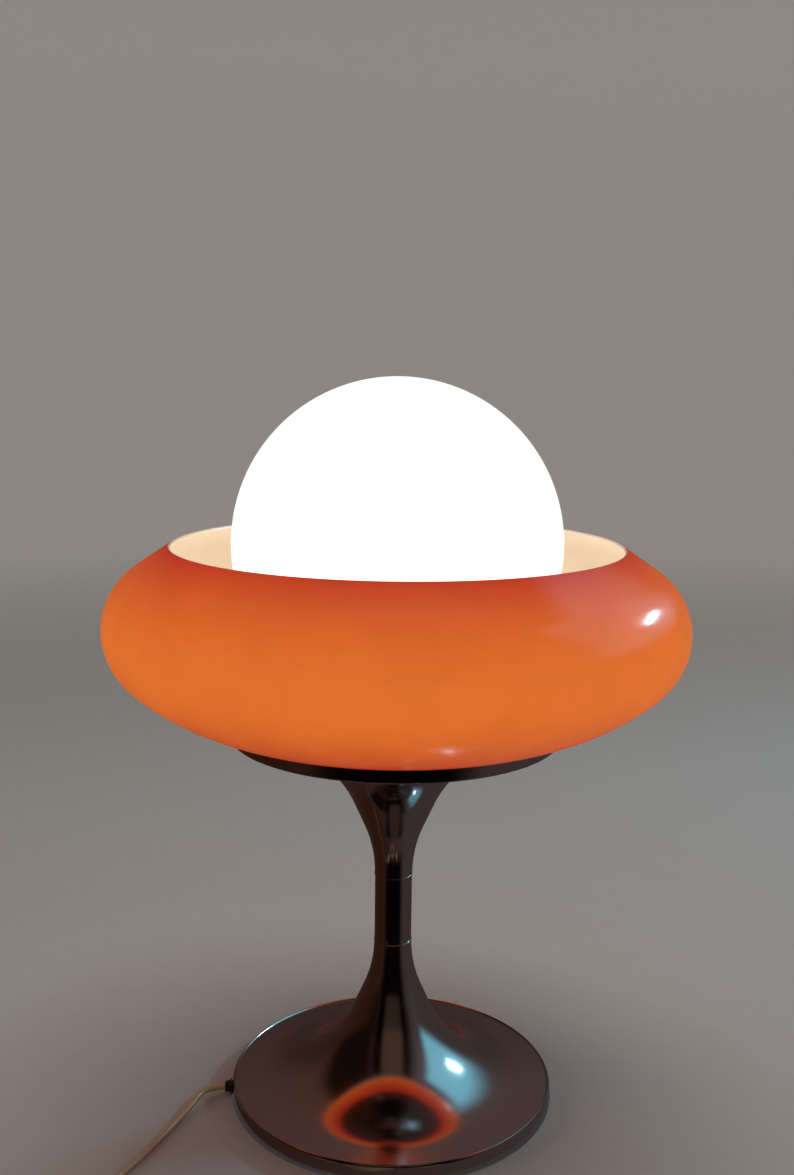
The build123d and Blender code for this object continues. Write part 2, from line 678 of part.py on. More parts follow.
# The coil's outer shape: the turns lie side by side and on each other.
with BuildPart() as cord_coil:
    with BuildSketch(Plane(origin=(*COIL_PLACE, 0), x_dir=(1, 0, 0), z_dir=(0, -1, 0))):
        with Locations((COIL_TURN_RADIUS, COIL_THICKNESS / 2)):
            RectangleRounded(COIL_THICKNESS, COIL_THICKNESS, CORD_RADIUS)
    revolve(axis=Axis(origin=(*COIL_PLACE, 0), direction=(0, 0, 1)))
save(cord_coil, "cord_coil")

# From the top of the coil down to the plug.
tail_points = (
    (-19.0, -213.6, 12.6),
    (-8.0, -213.2, 11.6),
    (3.0, -210.6, 9.7),
    (12.5, -206.4, 7.8),
    (21.5, PLUG_FACE[1], PLUG_FACE[2]),
    PLUG_FACE,
)
save(cord_tube("cord_tail", tail_points), "cord_tail")

# ---- plug ---------------------------------------------------------------------------------
# A flat two-pin plug lying on its side: a tapered sleeve, a body that widens to the pins.
sleeve_plane = Plane(origin=PLUG_FACE, x_dir=(0, 1, 0), z_dir=(1, 0, 0))
body_plane = Plane(origin=(PLUG_FACE[0] + PLUG_SLEEVE, PLUG_FACE[1], 0))
with BuildPart() as plug_body:
    with BuildSketch(sleeve_plane):
        Circle(3.6)
    with BuildSketch(sleeve_plane.offset(PLUG_SLEEVE)):
        Circle(5.6)
    loft()
    with BuildSketch(body_plane):
        with BuildLine():
            Polyline(
                (0, 7.0),
                (0, -7.0),
                (12.0, -16.0),
                (24.0, -17.6),
                (PLUG_LENGTH, -13.6),
                (PLUG_LENGTH, 13.6),
                (24.0, 17.6),
                (12.0, 16.0),
                close=True,
            )
        make_face()
    extrude(amount=PLUG_THICKNESS)
    fillet(plug_body.edges().filter_by(Axis.Z), radius=2.0)
save(plug_body, "plug_body")

pin_plane = sleeve_plane.offset(PLUG_SLEEVE + PLUG_LENGTH)
with BuildPart() as plug_pins:
    with BuildSketch(pin_plane):
        with GridLocations(PIN_SPACING, 0, 2, 1):
            Circle(PIN_RADIUS)
    extrude(amount=PIN_LENGTH)
    fillet(plug_pins.faces().sort_by(Axis.X)[-2:].edges(), radius=1.4)
save(plug_pins, "plug_pins")
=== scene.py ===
"""Looks of a tulip-base table lamp with a bowl shade and an opal globe, built round its CAD frame."""

import logging
import math
from dataclasses import dataclass, field
from enum import Enum

import bpy
from mathutils import Matrix, Vector


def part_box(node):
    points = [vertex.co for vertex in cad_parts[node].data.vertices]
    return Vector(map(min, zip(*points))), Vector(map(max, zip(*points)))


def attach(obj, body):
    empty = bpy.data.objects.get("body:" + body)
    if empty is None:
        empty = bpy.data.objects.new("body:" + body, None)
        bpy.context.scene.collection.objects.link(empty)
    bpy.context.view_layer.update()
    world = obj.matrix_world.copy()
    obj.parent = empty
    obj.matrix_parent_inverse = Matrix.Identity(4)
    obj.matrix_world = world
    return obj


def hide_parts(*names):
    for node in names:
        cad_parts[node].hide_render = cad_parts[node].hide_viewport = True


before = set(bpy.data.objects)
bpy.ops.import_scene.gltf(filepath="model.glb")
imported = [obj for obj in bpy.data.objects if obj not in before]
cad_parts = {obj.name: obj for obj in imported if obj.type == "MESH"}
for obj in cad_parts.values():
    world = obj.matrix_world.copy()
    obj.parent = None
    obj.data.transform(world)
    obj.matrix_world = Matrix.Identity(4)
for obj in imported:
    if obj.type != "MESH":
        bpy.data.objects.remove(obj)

log = logging.getLogger("table_lamp")

Colour = tuple[float, float, float]
Point = tuple[float, float, float]
Outline = list[tuple[float, float]]

MM = 0.001
LAMP_BODY = "lamp"


class Axis(Enum):
    """The way a turned piece's own axis points."""

    ALONG_X = "along x"
    AGAINST_X = "against x"
    CORD_EXIT = "cord exit"


# ---- meshes -------------------------------------------------------------------------------
def deselect_all() -> None:
    """Clears the selection, so that an operator acts only on what comes next."""
    bpy.ops.object.select_all(action="DESELECT")


def activate(piece: bpy.types.Object) -> None:
    """Makes a piece the only selected and the active one."""
    deselect_all()
    piece.select_set(True)
    bpy.context.view_layer.objects.active = piece


def smooth(piece: bpy.types.Object, angle: float = 35.0) -> None:
    """Shades a piece smooth, with creases sharper than an angle in degrees kept."""
    activate(piece)
    bpy.ops.object.shade_smooth_by_angle(angle=math.radians(angle))


def turned(name: str, outline: Outline, segments: int = 192) -> bpy.types.Object:
    """Turns a closed outline about +Z: a ring of edges, extruded from point to point.

    Args:
        name: The piece's name.
        outline: (radius, height) points in metres, in order, without the first one again.
        segments: Edges round the ring.

    Returns:
        The piece, with its place in its mesh.
    """
    deselect_all()
    radius, height = outline[0]
    bpy.ops.mesh.primitive_circle_add(vertices=segments, radius=radius, location=(0, 0, height))
    piece = bpy.context.active_object
    piece.name = name
    bpy.ops.object.mode_set(mode="EDIT")
    bpy.ops.mesh.select_all(action="SELECT")
    for next_radius, next_height in [*outline[1:], outline[0]]:
        rise = (0, 0, next_height - height)
        bpy.ops.mesh.extrude_edges_move(TRANSFORM_OT_translate={"value": rise})
        share = next_radius / radius
        bpy.ops.transform.resize(value=(share, share, 1), center_override=(0, 0, next_height))
        radius, height = next_radius, next_height
    bpy.ops.mesh.select_all(action="SELECT")
    bpy.ops.mesh.remove_doubles(threshold=1e-6)
    bpy.ops.mesh.normals_make_consistent(inside=False)
    bpy.ops.object.mode_set(mode="OBJECT")
    bpy.ops.object.transform_apply(location=True, rotation=True, scale=True)
    smooth(piece)
    return piece


def stand_at(piece: bpy.types.Object, place: Point, axis: Axis, exit_turn: float = 0.0) -> None:
    """Lays a piece that was made about +Z along another axis, and puts it in its place.

    Args:
        piece: The piece, made at the origin.
        place: Where its origin goes, in metres.
        axis: The way its +Z then points.
        exit_turn: For Axis.CORD_EXIT, the exit's direction about +Z in radians.
    """
    turns = {
        Axis.ALONG_X: Matrix.Rotation(math.pi / 2, 4, "Y"),
        Axis.AGAINST_X: Matrix.Rotation(-math.pi / 2, 4, "Y"),
        Axis.CORD_EXIT: Matrix.Rotation(exit_turn, 4, "Z") @ Matrix.Rotation(math.pi / 2, 4, "Y"),
    }
    piece.matrix_world = Matrix.Translation(place) @ turns[axis]
    activate(piece)
    bpy.ops.object.transform_apply(location=True, rotation=True, scale=True)


def arcs_from(start: tuple[float, float], heading: float, steps: list[tuple], offset: float) -> Outline:
    """Points along a line of tangent arcs and straights, offset to its left.

    Args:
        start: The line's first (radius, height).
        heading: Its first direction in degrees.
        steps: ("arc", radius, turn in degrees) or ("line", length), turning to the left.
        offset: How far to the left of the line the points lie.

    Returns:
        The (radius, height) points.
    """
    degrees_apart = 2.5
    x, z = start
    angle = math.radians(heading)
    points = [(x - offset * math.sin(angle), z + offset * math.cos(angle))]
    for step in steps:
        if step[0] == "line":
            x += step[1] * math.cos(angle)
            z += step[1] * math.sin(angle)
            points.append((x - offset * math.sin(angle), z + offset * math.cos(angle)))
            continue
        _, radius, turn = step
        parts = max(2, math.ceil(abs(turn) / degrees_apart))
        part = math.radians(turn) / parts
        chord = 2 * radius * math.sin(part / 2)
        for _ in range(parts):
            x += chord * math.cos(angle + part / 2)
            z += chord * math.sin(angle + part / 2)
            angle += part
            points.append((x - offset * math.sin(angle), z + offset * math.cos(angle)))
    return points


def place_on_lamp(piece: bpy.types.Object, material: bpy.types.Material) -> None:
    """Gives a finished piece its material, and lets it ride on the lamp."""
    piece.data.materials.clear()
    piece.data.materials.append(material)
    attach(piece, LAMP_BODY)
    log.info("piece %s", piece.name)


def dress(node: str, material: bpy.types.Material) -> None:
    """Gives a CAD node a material, in its own material slots."""
    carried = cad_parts[node]
    if not carried.material_slots:
        carried.data.materials.append(material)
    for slot in carried.material_slots:
        slot.material = material
    log.info("node %s wears %s", node, material.name)


# ---- shader nodes -------------------------------------------------------------------------
class Value:
    """A number that varies over a surface; arithmetic on it adds Math nodes."""

    def __init__(self, paint: "Paint", socket: bpy.types.NodeSocket) -> None:
        """Wraps an output socket of a paint's tree."""
        self.paint = paint
        self.socket = socket

    def math(self, operation: str, *others: object, first: object = None) -> "Value":
        """Adds one Math node.

        Args:
            operation: The node's operation.
            others: What follows this value in the node's inputs.
            first: What comes before it, for a reflected operator.

        Returns:
            The node's result.
        """
        terms = [self, *others] if first is None else [first, self]
        made = self.paint.node("ShaderNodeMath", {"operation": operation}, dict(enumerate(terms)))
        return Value(self.paint, made.outputs[0])

    def __add__(self, other: object) -> "Value":
        """This value plus another."""
        return self.math("ADD", other)

    def __radd__(self, other: object) -> "Value":
        """Another value plus this one."""
        return self.math("ADD", other)

    def __sub__(self, other: object) -> "Value":
        """This value less another."""
        return self.math("SUBTRACT", other)

    def __rsub__(self, other: object) -> "Value":
        """Another value less this one."""
        return self.math("SUBTRACT", first=other)

    def __mul__(self, other: object) -> "Value":
        """This value times another."""
        return self.math("MULTIPLY", other)

    def __rmul__(self, other: object) -> "Value":
        """Another value times this one."""
        return self.math("MULTIPLY", other)

    def __truediv__(self, other: object) -> "Value":
        """This value over another."""
        return self.math("DIVIDE", other)

    def __pow__(self, other: object) -> "Value":
        """This value to a power."""
        return self.math("POWER", other)

    def held(self) -> "Value":
        """This value, held between 0 and 1."""
        return self.math("MAXIMUM", 0.0).math("MINIMUM", 1.0)

    def between(self, low: float, high: float) -> "Value":
        """0 below low, 1 above high, and smooth in between."""
        settings = {"interpolation_type": "SMOOTHSTEP"}
        sockets = {"Value": self, "From Min": low, "From Max": high}
        made = self.paint.node("ShaderNodeMapRange", settings, sockets)
        return Value(self.paint, made.outputs["Result"])


class Paint:
    """One material's node tree, with its Principled shader."""

    def __init__(self, name: str) -> None:
        """Starts a material of that name."""
        self.material = bpy.data.materials.new(name)
        self.material.use_nodes = True
        self.tree = self.material.node_tree
        self.shader = self.tree.nodes["Principled BSDF"]

    def feed(self, socket: bpy.types.NodeSocket, value: object) -> None:
        """Links a value or an output to a socket, or sets the socket's own number."""
        if isinstance(value, Value):
            self.tree.links.new(value.socket, socket)
        elif isinstance(value, bpy.types.NodeSocket):
            self.tree.links.new(value, socket)
        else:
            socket.default_value = value

    def node(self, kind: str, settings: dict | None = None, sockets: dict | None = None) -> bpy.types.Node:
        """Adds a node.

        Args:
            kind: The node's type.
            settings: Its own properties, and "stops" of (position, colour) for a ramp.
            sockets: Input names or numbers, with their values or links.

        Returns:
            The node.
        """
        made = self.tree.nodes.new(kind)
        for name, value in (settings or {}).items():
            if name != "stops":
                setattr(made, name, value)
                continue
            elements = made.color_ramp.elements
            while len(elements) < len(value):
                elements.new(1.0)
            for element, (position, colour) in zip(elements, value):
                element.position = position
                element.color = (*colour, 1.0)
        for name, value in (sockets or {}).items():
            self.feed(made.inputs[name], value)
        return made

    def place(self) -> bpy.types.NodeSocket:
        """A point's place on the lamp, in metres."""
        return self.node("ShaderNodeTexCoord").outputs["Object"]

    def split(self, vector: bpy.types.NodeSocket) -> tuple[Value, Value, Value]:
        """The three parts of a vector."""
        made = self.node("ShaderNodeSeparateXYZ", None, {0: vector})
        return tuple(Value(self, output) for output in made.outputs)

    def joined(self, x: object, y: object, z: object) -> bpy.types.NodeSocket:
        """A vector of three values."""
        return self.node("ShaderNodeCombineXYZ", None, {0: x, 1: y, 2: z}).outputs[0]

    def noise(self, scale: float, detail: float = 2.0, where: bpy.types.NodeSocket | None = None) -> Value:
        """Noise about one half, with scale in patches per metre."""
        sockets = {"Vector": where or self.place(), "Scale": scale, "Detail": detail}
        return Value(self, self.node("ShaderNodeTexNoise", None, sockets).outputs[0])

    def cells(self, scale: float) -> Value:
        """Distance to the nearest of many scattered points, in cells."""
        sockets = {"Vector": self.place(), "Scale": scale}
        return Value(self, self.node("ShaderNodeTexVoronoi", None, sockets).outputs["Distance"])

    def ramp(self, value: Value, stops: list[tuple[float, Colour]]) -> bpy.types.NodeSocket:
        """A colour picked by a value between 0 and 1."""
        return self.node("ShaderNodeValToRGB", {"stops": stops}, {"Fac": value}).outputs["Color"]

    def mix(self, share: object, first: object, second: object) -> bpy.types.NodeSocket:
        """Two colours, mixed by a share between 0 and 1."""
        factor, first_colour, second_colour, result = 0, 6, 7, 2
        first, second = ((*c, 1.0) if isinstance(c, tuple) else c for c in (first, second))
        sockets = {factor: share, first_colour: first, second_colour: second}
        return self.node("ShaderNodeMix", {"data_type": "RGBA"}, sockets).outputs[result]

    def bump(self, height: Value, strength: float, distance: float) -> None:
        """Raises the surface by a height, in a distance in metres."""
        sockets = {"Height": height, "Strength": strength, "Distance": distance}
        self.set("Normal", self.node("ShaderNodeBump", None, sockets).outputs[0])

    def set(self, name: str, value: object) -> None:
        """Feeds one of the shader's sockets."""
        if isinstance(value, tuple):
            value = (*value, 1.0)
        self.feed(self.shader.inputs[name], value)


# ---- finishes -----------------------------------------------------------------------------
@dataclass(frozen=True)
class SpunMetal:
    """Chromed metal finished on the lathe: fine rings round the lamp's axis, and a little haze."""

    name: str
    colour: Colour
    roughness: float
    ring_depth: float
    stretch: float = 0.0

    def make(self) -> bpy.types.Material:
        """Builds the material.

        Returns:
            The finished material.
        """
        paint = Paint(self.name)
        x, y, z = paint.split(paint.place())
        radius = (x * x + y * y) ** 0.5
        around = x.math("ARCTAN2", y)
        rings = paint.noise(1.0, 3.0, paint.joined(radius * 5200.0, z * 5200.0, around * 1.2))
        coarse = paint.noise(1.0, 2.0, paint.joined(radius * 900.0, z * 900.0, around * 0.7))
        haze = paint.noise(14.0, 4.0)
        worn = tuple(0.82 * part for part in self.colour)
        paint.set("Base Color", paint.mix(haze * 0.7 + coarse * 0.3, worn, self.colour))
        paint.set("Metallic", 1.0)
        paint.set("Roughness", self.roughness * (0.75 + rings * 0.3 + haze * 0.25))
        paint.set("Anisotropic", self.stretch)
        paint.bump(rings * 0.7 + coarse * 0.3, 0.35, self.ring_depth)
        return paint.material


@dataclass(frozen=True)
class PlainMetal:
    """Bare or plated metal with a mottled surface."""

    name: str
    colour: Colour
    stain: Colour
    roughness: float
    grain: float
    relief: float

    def make(self) -> bpy.types.Material:
        """Builds the material.

        Returns:
            The finished material.
        """
        paint = Paint(self.name)
        mottle = paint.noise(self.grain, 5.0)
        fine = paint.noise(self.grain * 7.0, 2.0)
        paint.set("Base Color", paint.mix(mottle.between(0.35, 0.7), self.colour, self.stain))
        paint.set("Metallic", 1.0)
        paint.set("Roughness", self.roughness * (0.7 + mottle * 0.6))
        paint.bump(mottle * 0.5 + fine * 0.5, 0.5, self.relief)
        return paint.material


@dataclass(frozen=True)
class Moulded:
    """Moulded plastic, rubber or porcelain: a soft mottle, a fine skin and a coat of gloss."""

    name: str
    colour: Colour
    shade: Colour
    roughness: float
    gloss: float
    skin: float = 1500.0
    relief: float = 0.00003

    def make(self) -> bpy.types.Material:
        """Builds the material.

        Returns:
            The finished material.
        """
        paint = Paint(self.name)
        mottle = paint.noise(70.0, 3.0)
        skin = paint.noise(self.skin, 2.0)
        smudge = paint.noise(220.0, 4.0).between(0.45, 0.75)
        paint.set("Base Color", paint.mix(mottle * 0.8 + smudge * 0.2, self.colour, self.shade))
        paint.set("Roughness", self.roughness * (0.8 + skin * 0.25 + smudge * 0.25))
        paint.set("Coat Weight", self.gloss)
        paint.set("Coat Roughness", 0.12)
        paint.bump(skin, 0.4, self.relief)
        return paint.material


@dataclass(frozen=True)
class Zinc:
    """Galvanised sheet: flat crystals of differing grey."""

    name: str = "zinc_spangle"

    def make(self) -> bpy.types.Material:
        """Builds the material.

        Returns:
            The finished material.
        """
        paint = Paint(self.name)
        crystals = paint.cells(170.0)
        scratch = paint.noise(900.0, 3.0)
        paint.set("Base Color", paint.mix(crystals, (0.42, 0.44, 0.46), (0.62, 0.63, 0.64)))
        paint.set("Metallic", 1.0)
        paint.set("Roughness", 0.32 + crystals * 0.22 + scratch * 0.08)
        paint.bump(crystals * 0.6 + scratch * 0.4, 0.3, 0.00006)
        return paint.material


@dataclass(frozen=True)
class Felt:
    """Pressed felt: short fibres over soft clumps."""

    name: str = "green_felt"
    colour: Colour = (0.018, 0.05, 0.032)
    light: Colour = (0.05, 0.105, 0.07)

    def make(self) -> bpy.types.Material:
        """Builds the material.

        Returns:
            The finished material.
        """
        paint = Paint(self.name)
        fibres = paint.noise(2600.0, 4.0)
        clumps = paint.noise(160.0, 3.0)
        paint.set("Base Color", paint.mix(fibres * 0.6 + clumps * 0.4, self.colour, self.light))
        paint.set("Roughness", 0.95)
        paint.set("Sheen Weight", 0.5)
        paint.bump(fibres * 0.7 + clumps * 0.3, 0.9, 0.0006)
        return paint.material


@dataclass(frozen=True)
class LitShade:
    """The bowl's orange layer, lit from within: brightest level with the bulb, redder away from it.

    Away from the bulb's level the light crosses the tinted wall at a slant, so more of it is lost, and
    the green in it is lost first.
    """

    name: str = "lit_orange_acrylic"
    bulb_level: float = 0.380
    reach: float = 0.068
    body: Colour = (0.34, 0.035, 0.008)
    bright: Colour = (0.70, 0.16, 0.025)
    deep: Colour = (0.38, 0.02, 0.01)

    def make(self) -> bpy.types.Material:
        """Builds the material.

        Returns:
            The finished material.
        """
        paint = Paint(self.name)
        _, _, height = paint.split(paint.place())
        drift = (paint.noise(9.0, 2.0) - 0.5) * 0.2
        slant = (height - self.bulb_level) / self.reach + drift
        level = (1.0 - slant * slant).held()
        cloud = paint.noise(26.0, 3.0)
        lit = paint.mix(level, self.deep, self.bright)
        dim = paint.node("ShaderNodeVectorMath", {"operation": "SCALE"}, {0: lit, "Scale": 0.93}).outputs[0]
        paint.set("Base Color", paint.mix(cloud, self.body, tuple(0.85 * part for part in self.body)))
        paint.set("Emission Color", paint.mix(cloud.between(0.3, 0.7), dim, lit))
        paint.set("Emission Strength", 1.0)
        paint.set("Roughness", 0.12 + paint.noise(40.0, 4.0) * 0.08)
        paint.set("Specular IOR Level", 0.35)
        paint.set("Coat Weight", 0.15)
        paint.set("Coat Roughness", 0.04)
        paint.bump(paint.noise(22.0, 1.0), 0.25, 0.0004)
        return paint.material


@dataclass(frozen=True)
class LitWhite:
    """White acrylic or opal glass that glows: bright, with a painted glow that is creamier low down and
    whiter above a set height.
    """

    name: str
    body: Colour
    glow: Colour
    cream: Colour
    strength: float
    low: float
    high: float
    roughness: float

    def make(self) -> bpy.types.Material:
        """Builds the material.

        Returns:
            The finished material.
        """
        paint = Paint(self.name)
        _, _, height = paint.split(paint.place())
        # Painted light: the glow goes from cream low down to white above a height, standing in for how the
        # bulb's light falls on it.
        share = height.between(self.low, self.high)
        cloud = paint.noise(18.0, 3.0)
        paint.set("Base Color", paint.mix(cloud, self.body, tuple(0.94 * part for part in self.body)))
        paint.set("Emission Color", paint.mix(share * (0.85 + cloud * 0.3), self.cream, self.glow))
        paint.set("Emission Strength", self.strength)
        paint.set("Roughness", self.roughness * (0.8 + cloud * 0.4))
        paint.set("Coat Weight", 0.5)
        paint.bump(paint.noise(30.0, 1.0), 0.2, 0.0002)
        return paint.material


@dataclass(frozen=True)
class Studio:
    """The floor with its cove, the lights and the camera."""

    long_side_mm: float = 36.0
    lens_mm: float = 39.77
    eye: Point = (0.0, -0.9728, 0.5811)
    down: float = 0.1718
    roll: float = 0.012
    reach: float = 5.5
    curve: float = 2.0
    curve_parts: int = 16
    wall_height: float = 4.5
    room_foot: float = 0.135
    room_radius: float = 2.4
    room_height: float = 4.2

    def camera(self) -> None:
        """Makes the camera and sets it."""
        data = bpy.data.cameras.new("view_camera")
        data.lens = self.lens_mm
        data.sensor_width = self.long_side_mm
        eye = bpy.data.objects.new("view_camera", data)
        bpy.context.scene.collection.objects.link(eye)
        tilt = Matrix.Rotation(math.pi / 2 - self.down, 4, "X")
        eye.matrix_world = Matrix.Translation(self.eye) @ tilt @ Matrix.Rotation(self.roll, 4, "Z")
        bpy.context.scene.camera = eye

    def floor(self) -> None:
        """A pale round floor that curves up into a wall all round, far enough out for any view."""
        outline = [(self.reach, self.wall_height)]
        for index in range(self.curve_parts + 1):
            angle = math.pi / 2 * index / self.curve_parts
            out = self.reach - self.curve * (1.0 - math.cos(angle))
            outline.append((out, self.curve * (1.0 - math.sin(angle))))
        middle, sheet = 0.0005, 0.02
        outline += [(middle, 0.0), (middle, -sheet), (self.reach + sheet, -sheet)]
        outline += [(self.reach + sheet, self.wall_height)]
        cove = turned("studio_cove", outline, 96)
        paint = Paint("pale_studio_paper")
        x, y, _ = paint.split(paint.place())
        # Painted light: past one metre out, the floor and wall glow more the farther out they are, so the far
        # backdrop looks lit.
        far = ((x * x + y * y) ** 0.5).between(1.0, 3.5)
        paper = paint.noise(60.0, 3.0)
        paint.set("Base Color", paint.mix(paper, (0.58, 0.55, 0.52), (0.62, 0.59, 0.56)))
        paint.set("Roughness", 0.8)
        paint.set("Emission Color", paint.mix(far, (0.0, 0.0, 0.0), (0.15, 0.14, 0.13)))
        paint.set("Emission Strength", 1.0)
        cove.data.materials.append(paint.material)
        cove.visible_glossy = False

    def surround(self) -> None:
        """A dim room that only reflections see: dark before the lamp, brown on its left, grey on its right.

        Its cool window, high on the right, gives the metal its blue streaks.
        """
        near, radius_in, top = self.room_foot, self.room_radius, self.room_height
        low_face, high_face, sheet = 0.2 * MM, 1.2 * MM, 20.0 * MM
        outline = [(near, high_face), (radius_in, high_face), (radius_in, top), (radius_in + sheet, top)]
        outline += [(radius_in + sheet, low_face), (near, low_face)]
        room = turned("dim_room", outline, 96)
        for sees in ("visible_camera", "visible_diffuse", "visible_transmission", "visible_shadow"):
            setattr(room, sees, False)
        paint = Paint("dim_room_walls")
        x, y, z = paint.split(paint.place())
        radius = (x * x + y * y) ** 0.5
        rightness = x / radius * 0.5 + 0.5
        low = paint.mix(rightness, (0.038, 0.014, 0.008), (0.068, 0.051, 0.051))
        high = paint.mix(rightness, (0.090, 0.040, 0.027), (0.110, 0.085, 0.090))
        walls = paint.mix(z.between(0.3, 1.8), low, high)
        front = (0.0 - y / radius).between(0.45, 0.85) * radius.between(0.15, 0.30)
        shaded = paint.mix(front, walls, (0.002, 0.001, 0.001))
        bearing = x.math("ARCTAN2", 0.0 - y)
        doorway = bearing.between(-0.50, -0.30) * (1.0 - bearing.between(0.35, 0.60)) * z.between(0.7, 1.2)
        shaded = paint.mix(doorway, shaded, (0.080, 0.050, 0.036))
        drape = bearing.between(-2.3, -1.9) * (1.0 - bearing.between(-1.0, -0.7)) * z.between(0.3, 0.8)
        shaded = paint.mix(drape, shaded, (0.012, 0.005, 0.003))
        across = bearing.between(1.2, 1.5) * (1.0 - bearing.between(2.2, 2.6))
        window = across * z.between(0.5, 1.0) * (1.0 - z.between(3.2, 3.8))
        paint.set("Base Color", (0.0, 0.0, 0.0))
        paint.set("Specular IOR Level", 0.0)
        paint.set("Emission Color", paint.mix(window, shaded, (0.26, 0.72, 0.95)))
        paint.set("Emission Strength", 1.0)
        room.data.materials.append(paint.material)

    def light(
        self, name: str, place: Point, aim: Point, size: tuple[float, float], watts: float, colour: Colour
    ) -> bpy.types.Object:
        """One soft area light.

        Args:
            name: The light's name.
            place: Its middle.
            aim: The point that it faces.
            size: Its width and height.
            watts: Its power.
            colour: Its colour.

        Returns:
            The light.
        """
        data = bpy.data.lights.new(name, "AREA")
        data.shape = "RECTANGLE"
        data.size, data.size_y = size
        data.energy = watts
        data.color = colour
        lamp = bpy.data.objects.new(name, data)
        bpy.context.scene.collection.objects.link(lamp)
        lamp.location = place
        lamp.visible_camera = False
        lamp.rotation_euler = (Vector(aim) - Vector(place)).to_track_quat("-Z", "Y").to_euler()
        return lamp

    def lights(self) -> None:
        """A soft light overhead, a cool window on the right and a faint fill on the left."""
        middle = (0.0, 0.0, 0.35)
        white, warm, cool = (1.0, 0.97, 0.95), (1.0, 0.88, 0.80), (0.50, 0.82, 1.0)
        overhead = self.light("overhead_soft", (0.1, 0.3, 2.2), (0, 0.1, 0), (1.3, 0.9), 11.0, white)
        fill = self.light("left_fill", (-1.9, -0.3, 1.0), middle, (0.9, 0.9), 3.0, warm)
        for bounced in (overhead, fill):
            bounced.visible_glossy = False
        self.light("window_soft", (1.50, 0.80, 1.00), middle, (0.36, 0.10), 5.0, cool)
        world = bpy.data.worlds.new("studio_air")
        bpy.context.scene.world = world
        world.use_nodes = True
        air = world.node_tree.nodes["Background"]
        air.inputs["Color"].default_value = (0.9, 0.95, 1.0, 1.0)
        air.inputs["Strength"].default_value = 0.07
        bpy.context.scene.view_settings.view_transform = "Standard"


